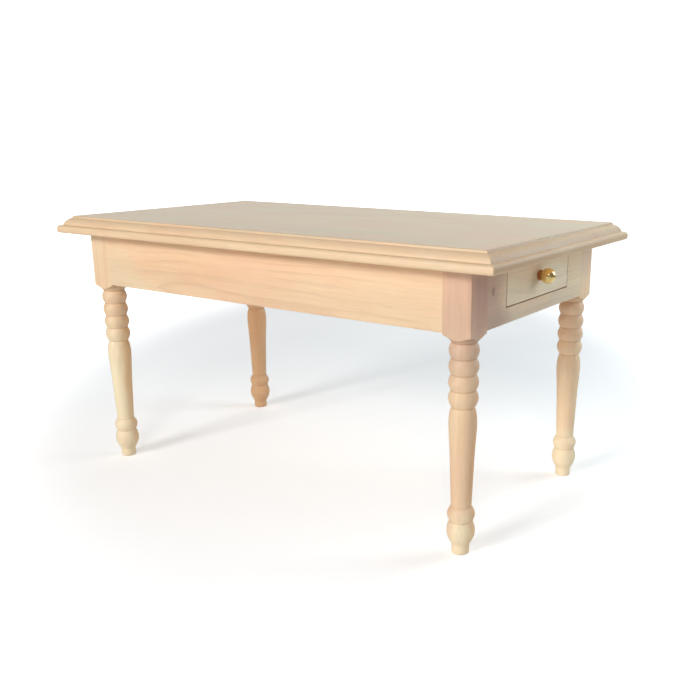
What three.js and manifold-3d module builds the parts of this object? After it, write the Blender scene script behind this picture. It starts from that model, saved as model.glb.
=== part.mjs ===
// Dolls' house dining table on four turned legs, with one drawer in its end, in millimetres.
// The origin is on the floor under the middle of the top. +X runs along the table towards the
// drawer end, +Y runs across it and +Z is up.
import * as THREE from 'three';
import { mergeVertices } from 'three/addons/utils/BufferGeometryUtils.js';
import Module from 'manifold-3d';

const wasm = await Module();
wasm.setup();

// Driving dimensions of the whole table.
const TABLE_HEIGHT = 64;
const TOP_LENGTH = 124.4;
const TOP_WIDTH = 68;
const TOP_THICKNESS = 4.15;
const END_OVERHANG = 6.9;
const SIDE_OVERHANG = 4.65;
const LEG_SQUARE = 6.4;
const APRON_DEPTH = 12.75;
const APRON_THICKNESS = 2.4;

// Moulded edge of the top: a flattened ovolo over a rounded nose. OVOLO_ROUNDNESS is 1 for a
// full quarter round and 0 for a straight slope.
const OVOLO_INSET = 2.68;
const OVOLO_TOP_DEPTH = 0.55;
const OVOLO_ROUNDNESS = 0.6;
const STEP_INSET = 1.18;
const STEP_DEPTH = 2.1;

// Turned part of a leg, from the floor up: peg, bulb, ring, tapered shaft, beads, cove.
const FOOT_RADIUS = 1.88;
const FOOT_ROUNDING = 0.4;
const PEG_TOP = 2.1;
const BULB_TOP = 7.35;
const BULB_RADIUS = 2.95;
const RING_TOP = 10.55;
const RING_RADIUS = 2.88;
const RING_GROOVE_RADIUS = 2.42;
const SHAFT_LOW_RADIUS = 2.13;
const SHAFT_BELLY_RADIUS = 2.9;
const SHAFT_BELLY_HEIGHT = 28.6;
const SHAFT_TOP = 31.85;
const SHAFT_TOP_RADIUS = 2.34;
const BEAD_COUNT = 4;
const BEAD_TOP = 45.15;
const BEAD_PITCH = 3.25;
const BEAD_RADIUS = 3.06;
const BEAD_GROOVE_RADIUS = 2.55;
const COVE_HEIGHT = 1.5;
const COVE_CURVE = 1.8;
const LEG_SIDES = 20;

// Stub tenons on the aprons, and the mortises they are glued into.
const TENON_LENGTH = 2.4;
const TENON_THICKNESS = 1.2;
const TENON_HEIGHT = 8;
const TENON_SETBACK = 0.6;
const GLUE_GAP = 0.1;

// Drawer, its runners and its stop.
const DRAWER_WIDTH = 29.7;
const DRAWER_FRONT_HEIGHT = 9;
const DRAWER_LENGTH = 44;
const DRAWER_SIDE_THICKNESS = 1.6;
const DRAWER_SIDE_HEIGHT = 7.6;
const DRAWER_BOTTOM_THICKNESS = 0.8;
const DRAWER_BOTTOM_LIFT = 0.7;
const DRAWER_GROOVE_DEPTH = 0.6;
const DRAWER_GAP = 0.25;
const SLIDING_GAP = 0.05;
const RUNNER_THICKNESS = 1.6;
const RUNNER_LEDGE = 1.6;
const STOP_THICKNESS = 1.8;
const STOP_HEIGHT = 5;

// Brass knob, turned in one piece with the spigot that holds it in the drawer front.
const KNOB_BALL_RADIUS = 1.65;
const KNOB_BALL_CENTRE = 2.05;
const KNOB_NECK_RADIUS = 1.15;
const KNOB_SPIGOT_RADIUS = 0.5;
const KNOB_SIDES = 24;

// Levels and faces worked out from the driving dimensions.
const UNDERSIDE = TABLE_HEIGHT - TOP_THICKNESS;
const APRON_BOTTOM = UNDERSIDE - APRON_DEPTH;
const APRON_FACE_X = TOP_LENGTH / 2 - END_OVERHANG;
const APRON_FACE_Y = TOP_WIDTH / 2 - SIDE_OVERHANG;
const LEG_X = APRON_FACE_X - LEG_SQUARE / 2;
const LEG_Y = APRON_FACE_Y - LEG_SQUARE / 2;
const FRONT_BOTTOM = UNDERSIDE - DRAWER_GAP - DRAWER_FRONT_HEIGHT;
const FRONT_BACK_X = APRON_FACE_X - APRON_THICKNESS;
const DRAWER_END_X = APRON_FACE_X - DRAWER_LENGTH;
const DRAWER_SIDE_X = (FRONT_BACK_X + DRAWER_END_X) / 2;
const DRAWER_SIDE_LENGTH = FRONT_BACK_X - DRAWER_END_X;
const KNOB_HEIGHT = FRONT_BOTTOM + DRAWER_FRONT_HEIGHT / 2;

const wood = (colour, roughness = 0.62) => (
  new THREE.MeshStandardMaterial({ color: colour, roughness, metalness: 0 })
);
const materials = {
  top: wood('#e6cda4', 0.5),
  leg: wood('#e3bd92'),
  apron: wood('#ebc79c'),
  drawer: wood('#dcc3a0'),
  hidden: wood('#d9c4a0', 0.7),
  brass: new THREE.MeshStandardMaterial({ color: '#c79a45', roughness: 0.2, metalness: 1 }),
};

const table = new THREE.Group();
table.name = 'dining_table';

function addPiece(name, geometry, material, x = 0, y = 0, z = 0, turn = 0) {
  const piece = new THREE.Mesh(geometry, material);
  piece.name = name;
  piece.position.set(x, y, z);
  piece.rotation.z = turn;
  table.add(piece);
  return piece;
}

// A box standing on z = 0 when lift is left out, centred on the given x and y.
function block(length, width, height, x = 0, y = 0, lift = 0) {
  const box = new THREE.BoxGeometry(length, width, height);
  return box.translate(x, y, lift + height / 2);
}

function toSolid(geometry) {
  const bare = geometry.clone();
  bare.deleteAttribute('normal');
  bare.deleteAttribute('uv');
  const merged = mergeVertices(bare);
  return new wasm.Manifold(new wasm.Mesh({
    numProp: 3,
    vertProperties: merged.getAttribute('position').array,
    triVerts: Uint32Array.from(merged.getIndex().array),
  }));
}

function toGeometry(solid) {
  const mesh = solid.getMesh();
  const geometry = new THREE.BufferGeometry();
  geometry.setAttribute('position', new THREE.BufferAttribute(mesh.vertProperties, 3));
  geometry.setIndex(new THREE.BufferAttribute(mesh.triVerts, 1));
  geometry.computeVertexNormals();
  return geometry;
}

function cutAway(geometry, cutters) {
  return toGeometry(cutters.reduce((solid, cutter) => solid.subtract(toSolid(cutter)), toSolid(geometry)));
}

// Points of a swelling between two heights, without its last point: a half wave added to a
// radius that changes evenly from low to high, and reaching middleRadius halfway.
function swelling(low, high, lowRadius, highRadius, middleRadius, steps) {
  const rise = middleRadius - (lowRadius + highRadius) / 2;
  return Array.from({ length: steps }, (_, i) => {
    const t = i / steps;
    const base = THREE.MathUtils.lerp(lowRadius, highRadius, t);
    return new THREE.Vector2(base + rise * Math.sin(Math.PI * t), THREE.MathUtils.lerp(low, high, t));
  });
}

// Section of one moulded edge: how far in from the widest line each height of the top lies.
function edgeSection() {
  const steps = 5;
  const ovolo = Array.from({ length: steps + 1 }, (_, i) => {
    const angle = (i / steps) * Math.PI / 2;
    const inward = THREE.MathUtils.lerp(1 - i / steps, 1 - Math.sin(angle), OVOLO_ROUNDNESS);
    const upward = THREE.MathUtils.lerp(1 - i / steps, Math.cos(angle), OVOLO_ROUNDNESS);
    return [
      STEP_INSET + (OVOLO_INSET - STEP_INSET) * inward,
      STEP_DEPTH - (STEP_DEPTH - OVOLO_TOP_DEPTH) * upward,
    ];
  });
  const nose = [[0.62, 2.28], [0.14, 2.65], [0, 3.1], [0, 3.5], [0.14, 3.88], [0.45, TOP_THICKNESS]];
  return [[3.2, 0], [2.93, 0.18], [2.78, 0.5], ...ovolo, ...nose];
}

// A board as long as needed whose two long edges carry the moulding, lying along X.
function mouldedStrip(length, width) {
  const section = edgeSection();
  const outline = new THREE.Shape();
  const right = section.map(([inset, depth]) => new THREE.Vector2(width / 2 - inset, TOP_THICKNESS - depth));
  const left = right.map((point) => new THREE.Vector2(-point.x, point.y)).reverse();
  outline.setFromPoints([...right, ...left]);
  const strip = new THREE.ExtrudeGeometry(outline, { depth: length, bevelEnabled: false });
  strip.translate(0, 0, -length / 2);
  return strip.rotateX(Math.PI / 2).rotateZ(Math.PI / 2);
}

// The moulding runs round all four sides and meets in mitred corners, so the top is what two
// moulded strips laid across each other have in common.
function tableTop() {
  const along = toSolid(mouldedStrip(TOP_LENGTH + 2, TOP_WIDTH));
  const across = toSolid(mouldedStrip(TOP_WIDTH + 2, TOP_LENGTH).rotateZ(Math.PI / 2));
  return toGeometry(along.intersect(across));
}

// Outline of the turning, from the floor up to a disc wider than the square block.
function turnedProfile() {
  const corner = LEG_SQUARE * Math.SQRT1_2 + 0.1;
  const points = [
    new THREE.Vector2(0, 0),
    new THREE.Vector2(FOOT_RADIUS - FOOT_ROUNDING, 0),
    new THREE.Vector2(FOOT_RADIUS, FOOT_ROUNDING),
    ...swelling(PEG_TOP, BULB_TOP, FOOT_RADIUS, RING_GROOVE_RADIUS, BULB_RADIUS, 6),
    ...swelling(BULB_TOP, RING_TOP, RING_GROOVE_RADIUS, SHAFT_LOW_RADIUS, RING_RADIUS, 5),
  ];
  const shaft = new THREE.CatmullRomCurve3([
    new THREE.Vector3(SHAFT_LOW_RADIUS, RING_TOP, 0),
    new THREE.Vector3(2.34, 16, 0),
    new THREE.Vector3(2.56, 22, 0),
    new THREE.Vector3(2.82, 26.4, 0),
    new THREE.Vector3(SHAFT_BELLY_RADIUS, SHAFT_BELLY_HEIGHT, 0),
    new THREE.Vector3(2.72, 30.7, 0),
    new THREE.Vector3(SHAFT_TOP_RADIUS, SHAFT_TOP, 0),
  ]);
  points.push(...shaft.getPoints(12).map((point) => new THREE.Vector2(point.x, point.y)));
  for (let i = BEAD_COUNT; i > 0; i -= 1) {
    const low = BEAD_TOP - i * BEAD_PITCH;
    points.push(...swelling(low, low + BEAD_PITCH, BEAD_GROOVE_RADIUS, BEAD_GROOVE_RADIUS, BEAD_RADIUS, 4));
  }
  const coveSteps = 4;
  for (let i = 0; i <= coveSteps; i += 1) {
    const t = i / coveSteps;
    points.push(new THREE.Vector2(
      THREE.MathUtils.lerp(BEAD_GROOVE_RADIUS, corner, t),
      BEAD_TOP + COVE_HEIGHT * (1 - (1 - t) ** COVE_CURVE),
    ));
  }
  points.push(new THREE.Vector2(corner, UNDERSIDE), new THREE.Vector2(0, UNDERSIDE));
  return points;
}

// The leg of the +X +Y corner. Its two mortises face -X and -Y.
function leg() {
  const turning = new THREE.LatheGeometry(turnedProfile(), LEG_SIDES).rotateX(Math.PI / 2);
  const square = block(LEG_SQUARE, LEG_SQUARE, UNDERSIDE);
  const mortiseLength = TENON_LENGTH + GLUE_GAP;
  const mortiseWidth = TENON_THICKNESS + 2 * GLUE_GAP;
  const mortiseHeight = TENON_HEIGHT + 2 * GLUE_GAP;
  const inward = (mortiseLength - LEG_SQUARE) / 2;
  const outward = LEG_SQUARE / 2 - TENON_SETBACK - TENON_THICKNESS / 2;
  const bottom = tenonBottom() - GLUE_GAP;
  const mortises = [
    block(mortiseLength, mortiseWidth, mortiseHeight, inward, outward, bottom),
    block(mortiseWidth, mortiseLength, mortiseHeight, outward, inward, bottom),
  ];
  const shaped = toGeometry(toSolid(turning).intersect(toSolid(square)));
  return cutAway(shaped, mortises);
}

function tenonBottom() {
  return UNDERSIDE - (APRON_DEPTH + TENON_HEIGHT) / 2;
}

// An apron lying along X, with its outer face on the -Y side of its own origin's plane y = 0.
function apron(shoulderLength) {
  const board = block(shoulderLength, APRON_THICKNESS, APRON_DEPTH, 0, APRON_THICKNESS / 2, APRON_BOTTOM);
  const tongue = block(
    shoulderLength + 2 * TENON_LENGTH, TENON_THICKNESS, TENON_HEIGHT,
    0, TENON_SETBACK + TENON_THICKNESS / 2, tenonBottom(),
  );
  return toGeometry(toSolid(board).add(toSolid(tongue)));
}

// The apron of the drawer end, with the drawer's opening sawn down from its top edge.
function drawerApron(shoulderLength) {
  const width = DRAWER_WIDTH + 2 * DRAWER_GAP;
  const floor = FRONT_BOTTOM - DRAWER_GAP;
  const opening = block(width, 3 * APRON_THICKNESS, APRON_DEPTH, 0, 0, floor);
  return cutAway(apron(shoulderLength), [opening]);
}

function addFrame() {
  addPiece('table_top', tableTop(), materials.top, 0, 0, UNDERSIDE);
  const legShape = leg();
  addPiece('leg_back_right', legShape, materials.leg, LEG_X, LEG_Y, 0, 0);
  addPiece('leg_back_left', legShape, materials.leg, -LEG_X, LEG_Y, 0, Math.PI / 2);
  addPiece('leg_front_left', legShape, materials.leg, -LEG_X, -LEG_Y, 0, Math.PI);
  addPiece('leg_front_right', legShape, materials.leg, LEG_X, -LEG_Y, 0, -Math.PI / 2);
  const longApron = apron(2 * (APRON_FACE_X - LEG_SQUARE));
  const endSpan = 2 * (APRON_FACE_Y - LEG_SQUARE);
  addPiece('apron_front', longApron, materials.apron, 0, -APRON_FACE_Y, 0, 0);
  addPiece('apron_back', longApron, materials.apron, 0, APRON_FACE_Y, 0, Math.PI);
  addPiece('apron_left', apron(endSpan), materials.apron, -APRON_FACE_X, 0, 0, -Math.PI / 2);
  addPiece('apron_right', drawerApron(endSpan), materials.apron, APRON_FACE_X, 0, 0, Math.PI / 2);
}

// A runner hangs from the top: a wall that guides the drawer and a ledge that carries it.
function addRunner(name, side) {
  const start = DRAWER_END_X - SLIDING_GAP - STOP_THICKNESS;
  const length = FRONT_BACK_X - start;
  const ledgeTop = FRONT_BOTTOM - SLIDING_GAP;
  const inner = DRAWER_WIDTH / 2 + DRAWER_GAP;
  const wallBottom = ledgeTop - RUNNER_THICKNESS;
  const wall = block(length, RUNNER_THICKNESS, UNDERSIDE - wallBottom, 0, RUNNER_THICKNESS / 2, wallBottom);
  const ledgeWidth = RUNNER_LEDGE + RUNNER_THICKNESS;
  const ledge = block(
    length, ledgeWidth, RUNNER_THICKNESS, 0, RUNNER_THICKNESS - ledgeWidth / 2, wallBottom,
  );
  const runner = toGeometry(toSolid(wall).add(toSolid(ledge)));
  addPiece(name, runner, materials.hidden, start + length / 2, side * inner, 0, side > 0 ? 0 : Math.PI);
}

function addDrawerStop() {
  const width = DRAWER_WIDTH + 2 * DRAWER_GAP;
  const stop = block(STOP_THICKNESS, width, STOP_HEIGHT);
  const x = DRAWER_END_X - SLIDING_GAP - STOP_THICKNESS / 2;
  addPiece('drawer_stop', stop, materials.hidden, x, 0, UNDERSIDE - STOP_HEIGHT);
}

// The groove that houses the drawer's bottom panel, as a cutter lying across the given spans.
function bottomGroove(length, width, x, y) {
  const play = 2 * SLIDING_GAP;
  return block(length, width, DRAWER_BOTTOM_THICKNESS + play, x, y, DRAWER_BOTTOM_LIFT - SLIDING_GAP);
}

function drawerFront() {
  const board = block(APRON_THICKNESS, DRAWER_WIDTH, DRAWER_FRONT_HEIGHT);
  const grooveWidth = DRAWER_WIDTH - 2 * (DRAWER_SIDE_THICKNESS - DRAWER_GROOVE_DEPTH);
  const groove = bottomGroove(2 * DRAWER_GROOVE_DEPTH, grooveWidth, -APRON_THICKNESS / 2, 0);
  const bore = new THREE.CylinderGeometry(
    KNOB_SPIGOT_RADIUS + GLUE_GAP, KNOB_SPIGOT_RADIUS + GLUE_GAP, 2 * APRON_THICKNESS, KNOB_SIDES,
  );
  bore.rotateZ(Math.PI / 2).translate(0, 0, DRAWER_FRONT_HEIGHT / 2);
  return cutAway(board, [groove, bore]);
}

// A drawer side in place at +Y, with the panel's groove in its inner face.
function drawerSide() {
  const board = block(DRAWER_SIDE_LENGTH, DRAWER_SIDE_THICKNESS, DRAWER_SIDE_HEIGHT);
  const groove = bottomGroove(
    DRAWER_SIDE_LENGTH + 2, 2 * DRAWER_GROOVE_DEPTH, 0, -DRAWER_SIDE_THICKNESS / 2,
  );
  return cutAway(board, [groove]);
}

function addDrawer() {
  const frontX = APRON_FACE_X - APRON_THICKNESS / 2;
  addPiece('drawer_front', drawerFront(), materials.drawer, frontX, 0, FRONT_BOTTOM);
  const side = drawerSide();
  const sideY = (DRAWER_WIDTH - DRAWER_SIDE_THICKNESS) / 2;
  addPiece('drawer_side_back', side, materials.hidden, DRAWER_SIDE_X, sideY, FRONT_BOTTOM);
  addPiece('drawer_side_front', side, materials.hidden, DRAWER_SIDE_X, -sideY, FRONT_BOTTOM, Math.PI);
  const inside = DRAWER_WIDTH - 2 * DRAWER_SIDE_THICKNESS;
  const panelTop = DRAWER_BOTTOM_LIFT + DRAWER_BOTTOM_THICKNESS;
  const end = block(DRAWER_SIDE_THICKNESS, inside, DRAWER_SIDE_HEIGHT - panelTop);
  const endX = DRAWER_END_X + DRAWER_SIDE_THICKNESS / 2;
  addPiece('drawer_end', end, materials.hidden, endX, 0, FRONT_BOTTOM + panelTop);
  const tongue = DRAWER_GROOVE_DEPTH - GLUE_GAP;
  const panel = block(DRAWER_SIDE_LENGTH + tongue, inside + 2 * tongue, DRAWER_BOTTOM_THICKNESS);
  const panelX = DRAWER_SIDE_X + tongue / 2;
  addPiece('drawer_bottom', panel, materials.hidden, panelX, 0, FRONT_BOTTOM + DRAWER_BOTTOM_LIFT);
}

// Turned about +X: spigot through the drawer front, straight neck, ball.
function knob() {
  const neckEnd = KNOB_BALL_CENTRE - Math.sqrt(KNOB_BALL_RADIUS ** 2 - KNOB_NECK_RADIUS ** 2);
  const points = [
    new THREE.Vector2(0, -APRON_THICKNESS),
    new THREE.Vector2(KNOB_SPIGOT_RADIUS, -APRON_THICKNESS),
    new THREE.Vector2(KNOB_SPIGOT_RADIUS, 0),
    new THREE.Vector2(KNOB_NECK_RADIUS, 0),
    new THREE.Vector2(KNOB_NECK_RADIUS, neckEnd),
  ];
  const startAngle = Math.asin(KNOB_NECK_RADIUS / KNOB_BALL_RADIUS);
  const steps = 9;
  for (let i = 1; i <= steps; i += 1) {
    const angle = startAngle + (i / steps) * (Math.PI - startAngle);
    const radius = i === steps ? 0 : KNOB_BALL_RADIUS * Math.sin(angle);
    points.push(new THREE.Vector2(radius, KNOB_BALL_CENTRE - KNOB_BALL_RADIUS * Math.cos(angle)));
  }
  return new THREE.LatheGeometry(points, KNOB_SIDES).rotateZ(-Math.PI / 2);
}

addFrame();
addRunner('drawer_runner_back', 1);
addRunner('drawer_runner_front', -1);
addDrawerStop();
addDrawer();
addPiece('drawer_knob', knob(), materials.brass, APRON_FACE_X, 0, KNOB_HEIGHT);

export default table;
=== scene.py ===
"""Looks of the dolls' house dining table: bare wood, a brass knob, a white studio.

Lengths are in metres unless a name ends in _MM.
"""
import math

import bmesh
import bpy
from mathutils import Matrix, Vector


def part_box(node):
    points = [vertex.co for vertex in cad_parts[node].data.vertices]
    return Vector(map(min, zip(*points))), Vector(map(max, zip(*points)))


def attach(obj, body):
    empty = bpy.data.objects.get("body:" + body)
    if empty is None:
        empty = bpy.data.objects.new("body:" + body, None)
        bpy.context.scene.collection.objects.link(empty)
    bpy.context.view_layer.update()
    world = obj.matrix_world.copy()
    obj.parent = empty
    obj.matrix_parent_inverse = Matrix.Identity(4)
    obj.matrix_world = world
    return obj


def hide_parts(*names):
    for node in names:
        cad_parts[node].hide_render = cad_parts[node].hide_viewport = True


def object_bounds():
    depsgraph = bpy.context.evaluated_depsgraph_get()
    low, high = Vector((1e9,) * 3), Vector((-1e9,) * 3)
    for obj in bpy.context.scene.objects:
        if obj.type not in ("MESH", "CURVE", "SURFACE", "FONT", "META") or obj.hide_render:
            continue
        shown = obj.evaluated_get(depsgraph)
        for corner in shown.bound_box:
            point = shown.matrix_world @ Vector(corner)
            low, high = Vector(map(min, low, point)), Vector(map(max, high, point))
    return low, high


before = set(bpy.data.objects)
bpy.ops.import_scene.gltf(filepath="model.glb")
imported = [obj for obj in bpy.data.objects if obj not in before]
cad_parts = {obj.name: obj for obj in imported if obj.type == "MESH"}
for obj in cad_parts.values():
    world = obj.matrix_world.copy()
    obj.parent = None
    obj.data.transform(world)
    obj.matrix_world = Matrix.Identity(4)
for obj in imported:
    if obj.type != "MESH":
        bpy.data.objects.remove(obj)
cad_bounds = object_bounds()
MM = 0.001

# Camera: where the photographer stood, as a turn from the front and a height above the floor's plane.
VIEW_AZIMUTH = math.radians(33.4)
VIEW_ELEVATION = math.radians(16.1)
VIEW_ROLL = math.radians(0.13)
VIEW_DISTANCE = 0.1606
VIEW_LENS_MM = 44.96
SENSOR_MM = 36.0
VIEW_SHIFT = (-0.0838, 0.0485)
VIEW_HEIGHT = 0.040
AIM_FROM_TOP_CORNER = Vector((-0.0126, -0.0081))

RIGHT_ANGLE = math.pi / 2
SHARP_ANGLE = math.radians(32)

# Softened arrises of the sawn boards: which edges count as square ones along the grain, and how
# far they are rounded.
ARRIS = 0.12 * MM
ARRIS_SEGMENTS = 3
WELD_DISTANCE = 1e-6
FLAT_ANGLE = math.radians(1)
SQUARE_TOLERANCE = math.radians(5)
ALONG_GRAIN = 0.99


# ---------------------------------------------------------------- mesh helpers

def finish_mesh(name, mesh_data, node, body):
    """Shades the mesh smooth with crisp creases, and rides it on a body in place of a CAD node."""
    mesh = bpy.data.meshes.new(name)
    for face in mesh_data.faces:
        face.smooth = True
    for edge in mesh_data.edges:
        if len(edge.link_faces) == 2 and edge.calc_face_angle(0.0) > SHARP_ANGLE:
            edge.smooth = False
    mesh_data.to_mesh(mesh)
    mesh_data.free()
    piece = bpy.data.objects.new(name, mesh)
    bpy.context.scene.collection.objects.link(piece)
    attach(piece, body)
    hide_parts(node)
    return piece


def bridge_rings(mesh_data, rings):
    """Faces between rings of vertices that all have the same count, with an n-gon cap at each end."""
    made = [[mesh_data.verts.new(point) for point in ring] for ring in rings]
    for lower, upper in zip(made, made[1:]):
        for i in range(len(lower)):
            j = (i + 1) % len(lower)
            mesh_data.faces.new((lower[i], lower[j], upper[j], upper[i]))
    mesh_data.faces.new(reversed(made[0]))
    mesh_data.faces.new(made[-1])
    bmesh.ops.recalc_face_normals(mesh_data, faces=mesh_data.faces)


def softened_board(name, node, body, grain):
    """A sawn board with the CAD node's own shape, its edges along the grain eased with sandpaper."""
    data = bmesh.new()
    data.from_mesh(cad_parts[node].data)
    bmesh.ops.remove_doubles(data, verts=data.verts, dist=WELD_DISTANCE)
    bmesh.ops.dissolve_limit(data, angle_limit=FLAT_ANGLE, verts=data.verts, edges=data.edges)
    axis = "XYZ".index(grain)
    edges = [
        edge for edge in data.edges
        if edge.calc_face_angle(0.0) > RIGHT_ANGLE - SQUARE_TOLERANCE
        and abs((edge.verts[0].co - edge.verts[1].co).normalized()[axis]) > ALONG_GRAIN
    ]
    bmesh.ops.bevel(
        data, geom=edges, offset=ARRIS, segments=ARRIS_SEGMENTS, profile=0.5,
        affect="EDGES", clamp_overlap=True,
    )
    bmesh.ops.recalc_face_normals(data, faces=data.faces)
    return finish_mesh(name, data, node, body)


# ---------------------------------------------------------------- turned legs

# Profile of the turning, as in the CAD model: heights and radii in millimetres.
LEG_SQUARE_MM = 6.4
FOOT_RADIUS_MM = 1.88
FOOT_ROUNDING_MM = 0.45
PEG_RINGS_MM = (1.2, 1.9)
PEG_TOP_MM = 2.1
BULB_TOP_MM = 7.35
RING_TOP_MM = 10.55
RING_GROOVE_RADIUS_MM = 2.42
SHAFT_LOW_RADIUS_MM = 2.13
BULB_RADIUS_MM = 2.95
RING_RADIUS_MM = 2.88
SHAFT_POINTS_MM = (
    (SHAFT_LOW_RADIUS_MM, RING_TOP_MM), (2.34, 16), (2.56, 22), (2.82, 26.4), (2.9, 28.6),
    (2.72, 30.7), (2.34, 31.85),
)
BEAD_COUNT = 4
BEAD_TOP_MM = 45.15
BEAD_PITCH_MM = 3.25
BEAD_RADIUS_MM = 3.06
BEAD_GROOVE_RADIUS_MM = 2.55
COVE_HEIGHT_MM = 1.5
COVE_CURVE = 1.8
COVE_BEYOND_CORNER_MM = 0.1
OUTER_CORNER_MM = 0.2
FLUSH_CORNER_MM = 0.03

# Steps along each stretch of a leg, and round each face and corner of its block.
FOOT_STEPS = 5
BULB_STEPS = 22
RING_STEPS = 16
SHAFT_STEPS = 7
BEAD_STEPS = 14
COVE_STEPS = 10
BLOCK_STEPS = 10
FACE_STEPS = 24
CORNER_STEPS = 4


def quarter_turn(steps):
    return [RIGHT_ANGLE * i / steps for i in range(steps + 1)]


def swelling(low, high, low_radius, high_radius, middle_radius, steps):
    """(radius, height) points of a half-wave bulge between two heights, without the last."""
    rise = middle_radius - (low_radius + high_radius) / 2
    points = []
    for i in range(steps):
        t = i / steps
        radius = low_radius + (high_radius - low_radius) * t + rise * math.sin(math.pi * t)
        points.append((radius, low + (high - low) * t))
    return points


def spline(points, steps):
    """Catmull-Rom curve through (radius, height) points."""
    ends = [points[0], *points, points[-1]]
    curve = []
    for a, b, c, d in zip(ends, ends[1:], ends[2:], ends[3:]):
        for i in range(steps):
            t = i / steps
            curve.append(tuple(
                0.5 * (
                    2 * b[k]
                    + (c[k] - a[k]) * t
                    + (2 * a[k] - 5 * b[k] + 4 * c[k] - d[k]) * t * t
                    + (3 * b[k] - a[k] - 3 * c[k] + d[k]) * t ** 3
                )
                for k in range(2)
            ))
    curve.append(points[-1])
    return curve


def cove_height(radius):
    """Height of the hollow under the square block, which rises from the neck to the block's corners."""
    corner = LEG_SQUARE_MM * math.sqrt(0.5) + COVE_BEYOND_CORNER_MM
    t = (radius - BEAD_GROOVE_RADIUS_MM) / (corner - BEAD_GROOVE_RADIUS_MM)
    return BEAD_TOP_MM + COVE_HEIGHT_MM * (1 - (1 - t) ** COVE_CURVE)


def turned_profile():
    """(radius, height) points from the rim of the foot up to the neck under the cove."""
    points = [
        (FOOT_RADIUS_MM - FOOT_ROUNDING_MM * (1 - math.sin(a)), FOOT_ROUNDING_MM * (1 - math.cos(a)))
        for a in quarter_turn(FOOT_STEPS)
    ]
    points += [(FOOT_RADIUS_MM, height) for height in PEG_RINGS_MM]
    points += swelling(
        PEG_TOP_MM, BULB_TOP_MM, FOOT_RADIUS_MM, RING_GROOVE_RADIUS_MM, BULB_RADIUS_MM, BULB_STEPS
    )
    points += swelling(
        BULB_TOP_MM, RING_TOP_MM, RING_GROOVE_RADIUS_MM, SHAFT_LOW_RADIUS_MM, RING_RADIUS_MM, RING_STEPS
    )
    points += spline(SHAFT_POINTS_MM, SHAFT_STEPS)
    groove = BEAD_GROOVE_RADIUS_MM
    for i in range(BEAD_COUNT, 0, -1):
        low = BEAD_TOP_MM - i * BEAD_PITCH_MM
        points += swelling(low, low + BEAD_PITCH_MM, groove, groove, BEAD_RADIUS_MM, BEAD_STEPS)
    return points


def square_outline(rounded_quarter):
    """(angle, radius) round the square block. Only its corner away from the aprons is well rounded."""
    half = LEG_SQUARE_MM / 2
    corners = []
    for quarter in range(4):
        rounding = OUTER_CORNER_MM if quarter == rounded_quarter else FLUSH_CORNER_MM
        corner = []
        for a in quarter_turn(CORNER_STEPS):
            x = half - rounding + rounding * math.cos(a)
            y = half - rounding + rounding * math.sin(a)
            corner.append((math.atan2(y, x) + quarter * RIGHT_ANGLE, math.hypot(x, y)))
        corners.append(corner)
    outline = []
    for quarter, corner in enumerate(corners):
        start = corner[-1][0]
        end = corners[(quarter + 1) % 4][0][0] + (2 * math.pi if quarter == 3 else 0)
        face = [start + (end - start) * i / FACE_STEPS for i in range(1, FACE_STEPS)]
        outline += corner
        outline += [(a, half / max(abs(math.cos(a)), abs(math.sin(a)))) for a in face]
    return outline


def outer_quarter(centre):
    """Which corner of a leg's block points away from the middle of the table, counted round from +X+Y."""
    if centre.y > 0:
        return 0 if centre.x > 0 else 1
    return 3 if centre.x > 0 else 2


def turned_leg(node):
    lo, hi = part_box(node)
    centre = (lo + hi) / 2
    top_mm = hi.z / MM
    outline = square_outline(outer_quarter(centre))

    def ring(radius_height):
        return [
            Vector((centre.x + r * MM * math.cos(a), centre.y + r * MM * math.sin(a), z * MM))
            for (a, _), (r, z) in zip(outline, radius_height)
        ]

    rings = [ring([point] * len(outline)) for point in turned_profile()]
    neck = BEAD_GROOVE_RADIUS_MM
    for i in range(COVE_STEPS + 1):
        radii = [neck + (r - neck) * i / COVE_STEPS for _, r in outline]
        rings.append(ring([(r, cove_height(r)) for r in radii]))
    shoulder = [cove_height(r) for _, r in outline]
    for i in range(1, BLOCK_STEPS + 1):
        t = i / BLOCK_STEPS
        rings.append(ring([(r, z + (top_mm - z) * t) for (_, r), z in zip(outline, shoulder)]))
    data = bmesh.new()
    bridge_rings(data, rings)
    return finish_mesh(node.replace("leg_", "turned_leg_"), data, node, "table")


# ---------------------------------------------------------------- moulded top

TOP_INSET_MM = 3.2
TOP_FLAT_MARGIN_MM = 0.1
TOP_ARRIS_MM = (0.3, 0.2)
FILLET_MM = (2.78, 0.5)
OVOLO_INSET_MM = 2.68
OVOLO_TOP_MM = 0.55
OVOLO_ROUNDNESS = 0.6
STEP_INSET_MM = 1.18
STEP_DEPTH_MM = 2.1
STEP_FALL_MM = (0.04, 0.09)
NOSE_TOP_MM = (0.65, 2.27)
NOSE_WIDEST_MM = (0.0, 3.1)
NOSE_UNDERCUT_MM = 0.45
NOSE_UNDERCUT_TOP_MM = 3.5
MITRE_ROUNDING = 0.15 * MM
MITRE_STEPS = 3

# Steps along the rounded stretches of the section.
TOP_ARRIS_STEPS = 5
OVOLO_STEPS = 14
NOSE_STEPS = 7
UNDERCUT_STEPS = 6


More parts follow.
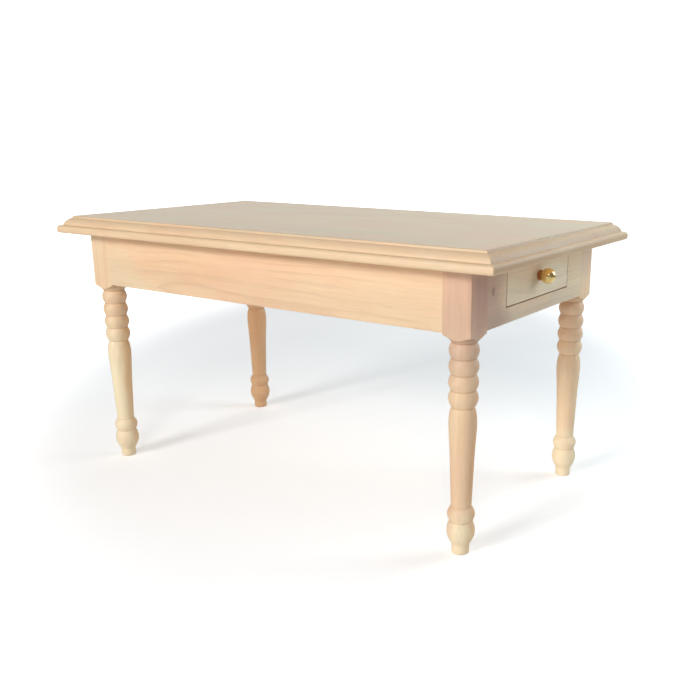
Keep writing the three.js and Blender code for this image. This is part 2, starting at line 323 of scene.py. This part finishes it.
def moulding_section(thickness_mm):
    """(inset, depth) points of the moulded edge, from the flat of the top down to the underside."""
    section = [(TOP_INSET_MM + TOP_FLAT_MARGIN_MM, 0.0)]
    wide, deep = TOP_ARRIS_MM
    for a in quarter_turn(TOP_ARRIS_STEPS):
        section.append((TOP_INSET_MM - wide * math.sin(a), deep * (1 - math.cos(a))))
    section.append(FILLET_MM)
    for a in quarter_turn(OVOLO_STEPS):
        slope = (1 - OVOLO_ROUNDNESS) * (1 - a / RIGHT_ANGLE)
        inward = slope + OVOLO_ROUNDNESS * (1 - math.sin(a))
        upward = slope + OVOLO_ROUNDNESS * math.cos(a)
        inset = STEP_INSET_MM + (OVOLO_INSET_MM - STEP_INSET_MM) * inward
        section.append((inset, STEP_DEPTH_MM - (STEP_DEPTH_MM - OVOLO_TOP_MM) * upward))
    section.append((STEP_INSET_MM - STEP_FALL_MM[0], STEP_DEPTH_MM + STEP_FALL_MM[1]))
    for a in quarter_turn(NOSE_STEPS):
        section.append((
            NOSE_WIDEST_MM[0] + (NOSE_TOP_MM[0] - NOSE_WIDEST_MM[0]) * (1 - math.sin(a)),
            NOSE_TOP_MM[1] + (NOSE_WIDEST_MM[1] - NOSE_TOP_MM[1]) * (1 - math.cos(a)),
        ))
    for a in quarter_turn(UNDERCUT_STEPS):
        drop = (thickness_mm - NOSE_UNDERCUT_TOP_MM) * math.sin(a)
        section.append((NOSE_UNDERCUT_MM * (1 - math.cos(a)), NOSE_UNDERCUT_TOP_MM + drop))
    return section


def rounded_rectangle(half_x, half_y, rounding):
    points = []
    for quarter, (sx, sy) in enumerate(((1, 1), (-1, 1), (-1, -1), (1, -1))):
        for i in range(MITRE_STEPS + 1):
            a = RIGHT_ANGLE * (quarter + i / MITRE_STEPS)
            points.append((
                sx * (half_x - rounding) + rounding * math.cos(a),
                sy * (half_y - rounding) + rounding * math.sin(a),
            ))
    return points


def moulded_top():
    lo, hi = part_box("table_top")
    centre = (lo + hi) / 2
    rings = []
    for inset, depth in moulding_section((hi.z - lo.z) / MM):
        half_x, half_y = hi.x - centre.x - inset * MM, hi.y - centre.y - inset * MM
        outline = rounded_rectangle(half_x, half_y, MITRE_ROUNDING)
        rings.append([Vector((centre.x + x, centre.y + y, hi.z - depth * MM)) for x, y in outline])
    data = bmesh.new()
    bridge_rings(data, rings)
    return finish_mesh("moulded_top", data, "table_top", "table")


# ---------------------------------------------------------------- brass knob

KNOB_BALL_RADIUS = 1.65 * MM
KNOB_BALL_CENTRE = 2.05 * MM
KNOB_NECK_RADIUS = 1.15 * MM
KNOB_FILLET = 0.12 * MM
KNOB_FILLET_MIDDLE = 0.03 * MM
KNOB_NECK_STRAIGHT = 0.2 * MM
KNOB_NECK_TAPER = 0.06 * MM
KNOB_SPIGOT_RADIUS = 0.5 * MM
KNOB_SPIGOT_CHAMFER = 0.08 * MM
KNOB_SIDES = 64
KNOB_BALL_STEPS = 32


def turned_knob():
    lo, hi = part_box("drawer_knob")
    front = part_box("drawer_front")[1].x
    axis_y, axis_z = (lo.y + hi.y) / 2, (lo.z + hi.z) / 2
    neck_end = KNOB_BALL_CENTRE - math.sqrt(KNOB_BALL_RADIUS ** 2 - KNOB_NECK_RADIUS ** 2)
    back = lo.x - front
    profile = [
        (KNOB_SPIGOT_RADIUS - KNOB_SPIGOT_CHAMFER, back),
        (KNOB_SPIGOT_RADIUS, back + KNOB_SPIGOT_CHAMFER),
        (KNOB_SPIGOT_RADIUS, 0.0),
        (KNOB_NECK_RADIUS - KNOB_FILLET, 0.0),
        (KNOB_NECK_RADIUS - KNOB_FILLET_MIDDLE, KNOB_FILLET_MIDDLE),
        (KNOB_NECK_RADIUS, KNOB_FILLET),
        (KNOB_NECK_RADIUS, KNOB_NECK_STRAIGHT),
        (KNOB_NECK_RADIUS - KNOB_NECK_TAPER, neck_end),
    ]
    start = math.asin(KNOB_NECK_RADIUS / KNOB_BALL_RADIUS)
    for i in range(1, KNOB_BALL_STEPS):
        a = start + (math.pi - start) * i / KNOB_BALL_STEPS
        out = KNOB_BALL_CENTRE - KNOB_BALL_RADIUS * math.cos(a)
        profile.append((KNOB_BALL_RADIUS * math.sin(a), out))
    rings = []
    for radius, out in profile:
        rings.append([
            Vector((front + out, axis_y + radius * math.cos(a), axis_z + radius * math.sin(a)))
            for a in (2 * math.pi * i / KNOB_SIDES for i in range(KNOB_SIDES))
        ])
    data = bmesh.new()
    bridge_rings(data, rings)
    return finish_mesh("brass_knob", data, "drawer_knob", "drawer")


# ---------------------------------------------------------------- materials

# Sockets of a Mix node that mixes colours: its factor, its two colours and its result.
MIX_FACTOR = 0
MIX_A = 6
MIX_B = 7
MIX_RESULT = 2


class Graph:
    """A material's node tree with short calls for the nodes used here."""

    def __init__(self, name):
        self.material = bpy.data.materials.new(name)
        self.material.use_nodes = True
        self.tree = self.material.node_tree
        self.shader = self.tree.nodes["Principled BSDF"]

    def node(self, kind, **settings):
        made = self.tree.nodes.new(kind)
        for key, value in settings.items():
            setattr(made, key, value)
        return made

    def feed(self, socket, value):
        if isinstance(value, bpy.types.NodeSocket):
            self.tree.links.new(value, socket)
        else:
            socket.default_value = value

    def math(self, operation, a, b=0.0, clamp=False):
        made = self.node("ShaderNodeMath", operation=operation, use_clamp=clamp)
        self.feed(made.inputs[0], a)
        self.feed(made.inputs[1], b)
        return made.outputs[0]

    def vector(self, operation, a, b):
        made = self.node("ShaderNodeVectorMath", operation=operation)
        self.feed(made.inputs[0], a)
        self.feed(made.inputs[1], b)
        return made.outputs["Value"] if operation in ("DOT_PRODUCT", "LENGTH") else made.outputs[0]

    def noise(self, vector, scale, detail, roughness):
        made = self.node("ShaderNodeTexNoise")
        self.feed(made.inputs["Vector"], vector)
        self.feed(made.inputs["Scale"], scale)
        self.feed(made.inputs["Detail"], detail)
        self.feed(made.inputs["Roughness"], roughness)
        return made.outputs["Fac"]

    def grey(self, value):
        made = self.node("ShaderNodeCombineColor")
        for socket in made.inputs[:3]:
            self.feed(socket, value)
        return made.outputs[0]

    def remap(self, value, low, high, to_low=0.0, to_high=1.0):
        made = self.node("ShaderNodeMapRange", interpolation_type="SMOOTHSTEP")
        self.feed(made.inputs["Value"], value)
        self.feed(made.inputs["From Min"], low)
        self.feed(made.inputs["From Max"], high)
        self.feed(made.inputs["To Min"], to_low)
        self.feed(made.inputs["To Max"], to_high)
        return made.outputs["Result"]

    def mix(self, factor, a, b, blend="MIX"):
        made = self.node("ShaderNodeMix", data_type="RGBA", blend_type=blend)
        self.feed(made.inputs[MIX_FACTOR], factor)
        self.feed(made.inputs[MIX_A], a)
        self.feed(made.inputs[MIX_B], b)
        return made.outputs[MIX_RESULT]

    def tinted(self, colour, tint):
        return self.mix(1.0, colour, tint, "MULTIPLY")

    def bump(self, height, strength, distance):
        made = self.node("ShaderNodeBump")
        self.feed(made.inputs["Strength"], strength)
        self.feed(made.inputs["Distance"], distance)
        self.feed(made.inputs["Height"], height)
        self.feed(self.shader.inputs["Normal"], made.outputs[0])


# For each grain direction, the two axes across it and the one along it.
GRAIN_AXES = {"X": (1, 2, 0), "Y": (0, 2, 1), "Z": (0, 1, 2)}
CREAM = (0.92, 0.675, 0.43, 1)
PEACH = (0.905, 0.60, 0.38, 1)
LATE_WOOD = (0.70, 0.42, 0.25, 1)
PORE = (0.55, 0.36, 0.24, 1)
END_GRAIN = (0.78, 0.72, 0.66, 1)
HOLLOW_SHADE = (0.60, 0.47, 0.38, 1)

# Noises in the wood: how much each is drawn out along the grain (1 is not at all), its scale per
# metre, its detail and its roughness.
DRIFT = (0.3, 48.0, 2.0, 0.5)
CLARITY = (0.5, 70.0, 1.0, 0.5)
MOTTLE = (0.6, 75.0, 3.0, 0.55)
FIBRE = (0.035, 5200.0, 3.0, 0.6)
STREAK = (0.03, 1300.0, 2.0, 0.5)
FLECK = (0.12, 3600.0, 1.0, 0.5)
SPECKLE = (1.0, 4200.0, 2.0, 0.6)

# Growth rings. RISE and FALL are the parts of a year over which the late wood comes and ends.
RING_WIDTH = 2.1 * MM
RING_WANDER = 14 * MM
RING_RISE = (0.55, 0.93)
RING_FALL = (1.0, 0.94)
RING_CLEAR = (0.38, 0.62)
RING_STRENGTH = 0.17

# Ranges for Graph.remap: from low to high, and what they become.
MOTTLED = (0.3, 0.7)
PATCH_RAGGED = (0.3, 0.7, -0.25, 0.25)
PATCH_EDGE = (1.15, 0.45)
FIBRE_SHADE = (0.25, 0.75, 0.955, 1.035)
STREAK_SHADE = (0.3, 0.7, -0.02, 0.02)
FLECK_SPOTS = (0.68, 0.78)
CUT_ACROSS = (0.5, 0.95)
SPECKLE_SHADE = (0.35, 0.65, 0.9, 1.04)
HOLLOW_SHADE_RANGE = (0.492, 0.45, 0.0, 0.75)
ROUGHENED = (0.2, 0.8)

FLECK_STRENGTH = 0.16
LOG_SPACING = 0.37
STREAK_HEIGHT = 0.6
FLECK_DEPTH = 0.5
ROUGHNESS_SPREAD = (-0.05, 0.08)
WOOD_BUMP = (0.2, 0.03 * MM)
WOOD_IOR = 1.5


def drawn_out(g, log, along, scale, detail, roughness):
    """Noise in the log's coordinates, drawn out along the grain."""
    return g.noise(g.vector("MULTIPLY", log, (1.0, 1.0, along)), scale, detail, roughness)


def log_coordinates(g, place, grain, cut):
    """Coordinates with Z along the grain, at the length of the log that the board was sawn from."""
    split = g.node("ShaderNodeSeparateXYZ")
    g.feed(split.inputs[0], place)
    join = g.node("ShaderNodeCombineXYZ")
    for target, source in enumerate(GRAIN_AXES[grain]):
        g.feed(join.inputs[target], split.outputs[source])
    return g.vector("ADD", join.outputs[0], (0.0, 0.0, LOG_SPACING * cut))


def growth_rings(g, log, pith_mm, strength):
    """How much late wood shows: rings round the pith that wander along the log and fade in places."""
    drift = drawn_out(g, log, *DRIFT)
    split = g.node("ShaderNodeSeparateXYZ")
    g.feed(split.inputs[0], log)
    out_a = g.math("SUBTRACT", split.outputs[0], pith_mm[0] * MM)
    out_b = g.math("SUBTRACT", split.outputs[1], pith_mm[1] * MM)
    square = g.math("ADD", g.math("MULTIPLY", out_a, out_a), g.math("MULTIPLY", out_b, out_b))
    wandered = g.math("ADD", g.math("SQRT", square), g.math("MULTIPLY", drift, RING_WANDER))
    year = g.math("FRACT", g.math("MULTIPLY", wandered, 1 / RING_WIDTH))
    late = g.math("MULTIPLY", g.remap(year, *RING_RISE), g.remap(year, *RING_FALL))
    clear = g.remap(drawn_out(g, log, *CLARITY), *RING_CLEAR)
    return g.math("MULTIPLY", late, g.math("MULTIPLY", clear, RING_STRENGTH * strength))


def with_patches(g, colour, place, mottle, patches):
    """Tints soft, ragged areas: each has a centre and a reach along X, Y and Z in millimetres."""
    for centre_mm, reach_mm, tint in patches:
        away = g.vector("SUBTRACT", place, tuple(value * MM for value in centre_mm))
        away = g.vector("DIVIDE", away, tuple(value * MM for value in reach_mm))
        distance = g.vector("LENGTH", away, (0.0, 0.0, 0.0))
        ragged = g.math("ADD", distance, g.remap(mottle, *PATCH_RAGGED))
        colour = g.mix(g.remap(ragged, *PATCH_EDGE), colour, g.tinted(colour, tint))
    return colour


def with_end_grain(g, colour, log, grain, normal):
    """Where the board is cut across, the pores drink light and the wood looks darker."""
    direction = [0.0, 0.0, 0.0]
    direction[GRAIN_AXES[grain][2]] = 1.0
    facing = g.math("ABSOLUTE", g.vector("DOT_PRODUCT", normal, direction))
    speckle = g.remap(drawn_out(g, log, *SPECKLE), *SPECKLE_SHADE)
    speckled = g.tinted(g.tinted(colour, END_GRAIN), g.grey(speckle))
    return g.mix(g.remap(facing, *CUT_ACROSS), colour, speckled)


def wood(name, grain, cut, pith_mm, tone=0.0, tint=None, patches=(), rings=1.0, roughness=0.5):
    """Bare, sanded, fine-grained pale wood.

    cut picks where in the log the board was sawn, and pith_mm is where the log's middle lies across
    the grain. tone shifts the wood towards peach, tint colours all of it, and patches tint areas.
    """
    g = Graph(name)
    place = g.node("ShaderNodeTexCoord").outputs["Object"]
    surface = g.node("ShaderNodeNewGeometry")
    log = log_coordinates(g, place, grain, cut)
    late = growth_rings(g, log, pith_mm, rings)
    mottle = drawn_out(g, log, *MOTTLE)
    fibre = drawn_out(g, log, *FIBRE)
    streak = drawn_out(g, log, *STREAK)
    fleck = g.remap(drawn_out(g, log, *FLECK), *FLECK_SPOTS)

    peachy = g.math("ADD", g.remap(mottle, *MOTTLED), tone, clamp=True)
    colour = g.mix(peachy, CREAM, PEACH)
    if tint:
        colour = g.tinted(colour, tint)
    colour = with_patches(g, colour, place, mottle, patches)
    colour = g.mix(late, colour, LATE_WOOD)
    shade = g.math("ADD", g.remap(fibre, *FIBRE_SHADE), g.remap(streak, *STREAK_SHADE))
    colour = g.tinted(colour, g.grey(shade))
    colour = g.mix(g.math("MULTIPLY", fleck, FLECK_STRENGTH), colour, PORE)
    colour = with_end_grain(g, colour, log, grain, surface.outputs["Normal"])

    # Painted shade: the wood is darkened in the hollows between the turned beads and in the moulding,
    # where the surface curves inward.
    hollow = g.remap(surface.outputs["Pointiness"], *HOLLOW_SHADE_RANGE)
    colour = g.mix(hollow, colour, g.tinted(colour, HOLLOW_SHADE))

    raised = g.math("ADD", fibre, g.math("MULTIPLY", streak, STREAK_HEIGHT))
    g.bump(g.math("SUBTRACT", raised, g.math("MULTIPLY", fleck, FLECK_DEPTH)), *WOOD_BUMP)
    g.feed(g.shader.inputs["Base Color"], colour)
    low, high = (roughness + spread for spread in ROUGHNESS_SPREAD)
    g.feed(g.shader.inputs["Roughness"], g.remap(fibre, *ROUGHENED, low, high))
    g.shader.inputs["IOR"].default_value = WOOD_IOR
    return g.material


# Brass: its colours, and its noises' scale per metre, detail and roughness.
BRASS = (0.93, 0.69, 0.30, 1)
TARNISHED_BRASS = (0.80, 0.53, 0.20, 1)
NECK_REFLECTION_RED = (0.46, 0.21, 0.09, 1)
TARNISH = (900.0, 3.0, 0.6)
TURNING_MARKS = (24000.0, 2.0, 0.5)
MARKS_DRAWN_OUT = (1.0, 0.06, 0.06)
TARNISH_COLOUR = (0.4, 0.75)
TARNISH_ROUGHNESS = (0.3, 0.8, 0.12, 0.24)
BRASS_BUMP = (0.1, 0.004 * MM)
BRIGHT_BEYOND = 1.35 * MM
RED_UP_TO = 0.7 * MM


def brass():
    """Polished brass with faint turning marks and a little tarnish, and a painted reflection of the
    shaded wood that makes it dark and red at the neck.
    """
    g = Graph("polished_brass")
    place = g.node("ShaderNodeTexCoord").outputs["Object"]
    tarnish = g.noise(place, *TARNISH)
    marks = g.noise(g.vector("MULTIPLY", place, MARKS_DRAWN_OUT), *TURNING_MARKS)
    colour = g.mix(g.remap(tarnish, *TARNISH_COLOUR), BRASS, TARNISHED_BRASS)
    split = g.node("ShaderNodeSeparateXYZ")
    g.feed(split.inputs[0], place)
    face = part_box("drawer_front")[1].x
    # Painted reflection and shade: the neck is coloured dark red, as it mirrors the shaded wood of the
    # drawer front.
    neck = g.remap(split.outputs[0], face + BRIGHT_BEYOND, face + RED_UP_TO)
    g.feed(g.shader.inputs["Base Color"], g.mix(neck, colour, NECK_REFLECTION_RED))
    g.feed(g.shader.inputs["Roughness"], g.remap(tarnish, *TARNISH_ROUGHNESS))
    g.bump(marks, *BRASS_BUMP)
    g.shader.inputs["Metallic"].default_value = 1.0
    return g.material


def paint(piece, material):
    piece.data.materials.clear()
    piece.data.materials.append(material)


# ---------------------------------------------------------------- studio

# Floor: its own colour, the glow that lights the table, and the glow that only the camera sees.
FLOOR_SIZE = 6.0
FLOOR_COLOUR = (0.9, 0.9, 0.9, 1)
GLOW_COLOUR = (0.99, 1.0, 1.01, 1)
FLOOR_GLOW = 0.02
FLOOR_SEEN = 0.35
FLOOR_WHITE = 1.05

# Painted shadow on the floor: an ellipse round the table where the floor glows less for the camera, so it
# looks greyer and the lamps' real shadows show.
# Its centre and stretch are given in axes turned about the table, and how far from its centre the floor
# starts to whiten and is white.
SHADOW_ACROSS = 0.003
SHADOW_DEEP = 0.09
SHADOW_STRETCH = 1.7
SHADOW_TURN = math.radians(33)
WHITE_FROM = 0.084
WHITE_AT = 0.15

# Room: its brightness as a light, in mirror reflections and to the camera.
ROOM_COLOUR = (0.99, 0.995, 1.0, 1)
ROOM_LIGHT = 0.03
ROOM_MIRRORED = 0.22
ROOM_SEEN = 1.03

LIGHT_TARGET = Vector((0.0, 0.0, 0.035))
NEAR_CLIP = 0.01


def studio_floor():
    """White paper with a painted shadow that greys it near the table, glowing to a pure white away from
    it for the camera.
    """
    data = bmesh.new()
    bmesh.ops.create_grid(data, x_segments=1, y_segments=1, size=FLOOR_SIZE / 2)
    mesh = bpy.data.meshes.new("studio_floor")
    data.to_mesh(mesh)
    data.free()
    floor = bpy.data.objects.new("studio_floor", mesh)
    bpy.context.scene.collection.objects.link(floor)
    g = Graph("white_paper")
    place = g.node("ShaderNodeTexCoord").outputs["Object"]
    sine, cosine = math.sin(SHADOW_TURN), math.cos(SHADOW_TURN)
    across = g.math("SUBTRACT", g.vector("DOT_PRODUCT", place, (cosine, sine, 0.0)), SHADOW_ACROSS)
    deep = g.math("SUBTRACT", g.vector("DOT_PRODUCT", place, (-sine, cosine, 0.0)), SHADOW_DEEP)
    deep = g.math("DIVIDE", deep, SHADOW_STRETCH)
    square = g.math("ADD", g.math("MULTIPLY", across, across), g.math("MULTIPLY", deep, deep))
    far = g.math("SQRT", square)
    glow_round_painted_shadow = g.remap(far, WHITE_FROM, WHITE_AT, FLOOR_SEEN, FLOOR_WHITE)
    seen = g.node("ShaderNodeLightPath").outputs["Is Camera Ray"]
    glow = g.math("ADD", FLOOR_GLOW, g.math("MULTIPLY", seen, glow_round_painted_shadow))
    g.shader.inputs["Base Color"].default_value = FLOOR_COLOUR
    g.shader.inputs["Roughness"].default_value = 1.0
    g.shader.inputs["Specular IOR Level"].default_value = 0.0
    g.shader.inputs["Emission Color"].default_value = GLOW_COLOUR
    g.feed(g.shader.inputs["Emission Strength"], glow)
    paint(floor, g.material)


def room():
    world = bpy.data.worlds.new("white_room")
    world.use_nodes = True
    tree = world.node_tree
    back = tree.nodes["Background"]
    back.inputs["Color"].default_value = ROOM_COLOUR
    path = tree.nodes.new("ShaderNodeLightPath")
    mirrored = tree.nodes.new("ShaderNodeMapRange")
    mirrored.inputs["To Min"].default_value = ROOM_LIGHT
    mirrored.inputs["To Max"].default_value = ROOM_MIRRORED
    tree.links.new(path.outputs["Is Glossy Ray"], mirrored.inputs["Value"])
    seen = tree.nodes.new("ShaderNodeMapRange")
    seen.inputs["To Max"].default_value = ROOM_SEEN
    tree.links.new(path.outputs["Is Camera Ray"], seen.inputs["Value"])
    tree.links.new(mirrored.outputs[0], seen.inputs["To Min"])
    tree.links.new(seen.outputs[0], back.inputs["Strength"])
    bpy.context.scene.world = world


def softbox(name, azimuth, elevation, distance, size, power, colour=(1, 1, 1)):
    """An area light aimed at the table: azimuth 0 is in front of it, 90 past the drawer end."""
    a, e = math.radians(azimuth), math.radians(elevation)
    back = Vector((math.sin(a) * math.cos(e), -math.cos(a) * math.cos(e), math.sin(e)))
    data = bpy.data.lights.new(name, "AREA")
    data.shape = "RECTANGLE"
    data.size, data.size_y = size
    data.energy = power
    data.color = colour
    light = bpy.data.objects.new(name, data)
    light.location = LIGHT_TARGET + back * distance
    light.rotation_mode = "QUATERNION"
    light.rotation_quaternion = (-back).to_track_quat("-Z", "Y")
    light.visible_camera = False
    bpy.context.scene.collection.objects.link(light)


def studio_lights():
    softbox("key_in_front", -10, 24, 0.9, (0.25, 0.18), 3.7)
    softbox("table_surface_in_front", -10, 10, 0.9, (0.25, 0.15), 0.7)
    softbox("lamp_over_the_camera", 30, 30, 0.9, (0.2, 0.2), 1.45)
    softbox("window_past_the_drawer", 134, 24, 0.25, (0.14, 0.14), 0.26, (0.84, 1.0, 1.08))
    softbox("bright_wall_behind", 213, 14, 1.1, (1.3, 0.45), 3.1, (0.94, 1.0, 1.02))
    softbox("ceiling", 0, 88, 1.0, (0.8, 0.8), 1.35)


def camera():
    back = Vector((
        math.sin(VIEW_AZIMUTH) * math.cos(VIEW_ELEVATION),
        -math.cos(VIEW_AZIMUTH) * math.cos(VIEW_ELEVATION),
        math.sin(VIEW_ELEVATION),
    ))
    lo, hi = cad_bounds
    aim = Vector((hi.x + AIM_FROM_TOP_CORNER.x, lo.y + AIM_FROM_TOP_CORNER.y, VIEW_HEIGHT))
    data = bpy.data.cameras.new("camera")
    data.lens = VIEW_LENS_MM
    data.sensor_width = SENSOR_MM
    data.shift_x, data.shift_y = VIEW_SHIFT
    data.clip_start = NEAR_CLIP
    view = bpy.data.objects.new("camera", data)
    view.location = aim + back * VIEW_DISTANCE
    view.rotation_mode = "QUATERNION"
    level = (-back).to_track_quat("-Z", "Y")
    roll = level.__class__((0, 0, 1), VIEW_ROLL)
    view.rotation_quaternion = level @ roll
    bpy.context.scene.collection.objects.link(view)
    bpy.context.scene.camera = view


# ---------------------------------------------------------------- the table

# Tints against the common wood colour, for whole boards and for soft patches on them.
NEAR_END_SHADE = (0.70, 0.59, 0.61, 1)
PINK = (0.82, 0.77, 0.83, 1)
ROSE = (0.97, 0.92, 0.89, 1)
COOL_LIGHT_GREY = (0.97, 1.06, 1.13, 1)
FAR_END_LIGHT = (1.05, 1.12, 1.20, 1)
SHEEN = (0.95, 1.0, 1.02, 1)
SHADY = (0.85, 0.85, 0.87, 1)
SHADED_ORANGE = (0.95, 0.83, 0.70, 1)
WARM_SHADE = (1.0, 0.82, 0.68, 1)
AMBER_SHADE = (1.0, 0.78, 0.59, 1)
FLOOR_BOUNCE_PALE = (1.10, 1.27, 1.34, 1)
TOP_SHADE_AND_SHEEN = (0.90, 0.93, 0.92, 1)
FRONT_EDGE_SHADE = (0.94, 0.95, 0.96, 1)
END_SHEEN = (0.98, 1.03, 1.08, 1)
KNOT = (0.68, 0.58, 0.63, 1)
BLOCK_END_SHADE = (0.76, 0.67, 0.70, 1)
FAIR = (1.04, 1.06, 1.07, 1)
COOL_SHADE = (0.86, 0.92, 1.02, 1)
FLUSHED = (0.92, 0.85, 0.85, 1)
TOP_FACE_MM = 64.3


def foot_bounce_light(x, y, reach=12):
    """Painted light from the bright floor: a paler patch that fades out up the leg from the foot at x, y.
    """
    return ((x, y, 0), (9, 9, reach), FLOOR_BOUNCE_PALE)


# Painted light and shade on the top's face: greyer and darker all over for the weak light from above and
# the grey sheen it mirrors, darker still near the front edge, and a brighter, cooler sheen at the drawer
# end.
TOP_PATCHES = (
    ((0, 0, TOP_FACE_MM), (130, 90, 0.9), TOP_SHADE_AND_SHEEN),
    ((10, -30, TOP_FACE_MM), (45, 16, 0.9), FRONT_EDGE_SHADE),
    ((60, 10, TOP_FACE_MM), (26, 30, 0.9), END_SHEEN),
)
FRONT_PATCHES = (
    ((-22, -29, 53), (24, 9, 4), ROSE),
    ((-55, -29, 50), (18, 9, 12), SHEEN),
)
RIGHT_PATCHES = (
    # Painted shade: the drawer-end rail darker and redder towards the near leg.
    ((57, -28, 52), (9, 15, 14), NEAR_END_SHADE),
    # Painted shade: a darker band lower down on the drawer-end rail.
    ((57, 0, 46), (9, 26, 5), SHADY),
    ((55.3, -20.8, 54.6), (2, 0.75, 1.0), KNOT),
)
DRAWER_PATCHES = (
    # Painted light: the drawer front is brighter and cooler towards its far end, nearer the window.
    ((60, 13, 52), (9, 13, 9), FAR_END_LIGHT),
)

# Name of the CAD node: body, slot, grain direction, place of the pith across the grain, tone, tint,
# patches, strength of the rings.
BOARDS = {
    "apron_front": ("table", "apron_wood", "X", (-30.0, 48.0), 0.0, None, FRONT_PATCHES, 2.1),
    "apron_back": ("table", "apron_wood", "X", (26.0, 40.0)),
    "apron_left": ("table", "apron_wood", "Y", (-52.0, 60.0)),
    # The drawer-end boards are greyed and cooled to paint the cool light that falls on that end.
    "apron_right": ("table", "apron_wood", "Y", (52.0, 20.0), 0.0, COOL_LIGHT_GREY, RIGHT_PATCHES),
    "drawer_front": ("drawer", "drawer_wood", "Y", (40.0, 66.0), -0.3, COOL_LIGHT_GREY, DRAWER_PATCHES),
    "drawer_side_front": ("drawer", "inner_wood", "X", (-30.0, 30.0)),
    "drawer_side_back": ("drawer", "inner_wood", "X", (30.0, 30.0)),
    "drawer_end": ("drawer", "inner_wood", "Y", (10.0, 30.0)),
    "drawer_bottom": ("drawer", "inner_wood", "Y", (30.0, 30.0)),
    "drawer_runner_front": ("table", "inner_wood", "X", (-20.0, 70.0)),
    "drawer_runner_back": ("table", "inner_wood", "X", (20.0, 70.0)),
    "drawer_stop": ("table", "inner_wood", "Y", (0.0, 80.0)),
}

# Name of the CAD node: place of the pith, tone, tint, patches.
LEGS = {
    "leg_front_right": ((60.0, -20.0), 0.0, None, (
        ((52, -26, 53), (9, 9, 16), PINK),
        # Painted shade on the drawer-end face of the leg's square block.
        ((57, -25, 55), (3.5, 9, 11), BLOCK_END_SHADE),
        # Painted shade: the shaft's side towards the drawer end is warmer and darker, as if lit by warm
        # bounced light.
        ((55.5, -24, 20), (4, 4, 26), AMBER_SHADE),
        foot_bounce_light(52, -26),
    )),
    "leg_back_right": ((44.0, 40.0), 0.0, FAIR, (
        ((52, 26, 58), (9, 9, 9), COOL_SHADE),
        ((52, 26, 42), (7, 7, 8), FLUSHED),
        foot_bounce_light(52, 26),
    )),
    "leg_front_left": ((-60.0, -12.0), -0.3, None, (
        ((-52, -26, 58), (9, 9, 12), SHEEN),
        # Painted shade: the shaft's side towards the drawer end is warmer and darker.
        ((-48.7, -24, 20), (3.5, 3.5, 26), WARM_SHADE),
        foot_bounce_light(-52, -26, 40),
    )),
    # The back left leg stands in shade under the table: its darker, more orange tint is painted shade.
    "leg_back_left": ((-44.0, 45.0), 0.2, SHADED_ORANGE),
}


# Place of the top's pith, tone, tint, patches, strength of the rings, roughness.
TOP = ((8.0, 20.0), -0.25, None, TOP_PATCHES, 0.5, 0.45)

# Where in the log the boards, the legs and the top were sawn.
FIRST_BOARD_CUT = 1
FIRST_LEG_CUT = 21
TOP_CUT = 31


def build_table():
    for cut, (node, (body, slot, grain, *look)) in enumerate(BOARDS.items(), FIRST_BOARD_CUT):
        board = softened_board("board_" + node, node, body, grain)
        paint(board, wood("wood_" + node, grain, cut, *look))
    for cut, (node, look) in enumerate(LEGS.items(), FIRST_LEG_CUT):
        paint(turned_leg(node), wood("wood_" + node, "Z", cut, *look))
    paint(moulded_top(), wood("wood_table_top", "X", TOP_CUT, *TOP))
    paint(turned_knob(), brass())


bpy.context.scene.view_settings.view_transform = "Standard"
build_table()
studio_floor()
room()
studio_lights()
camera()
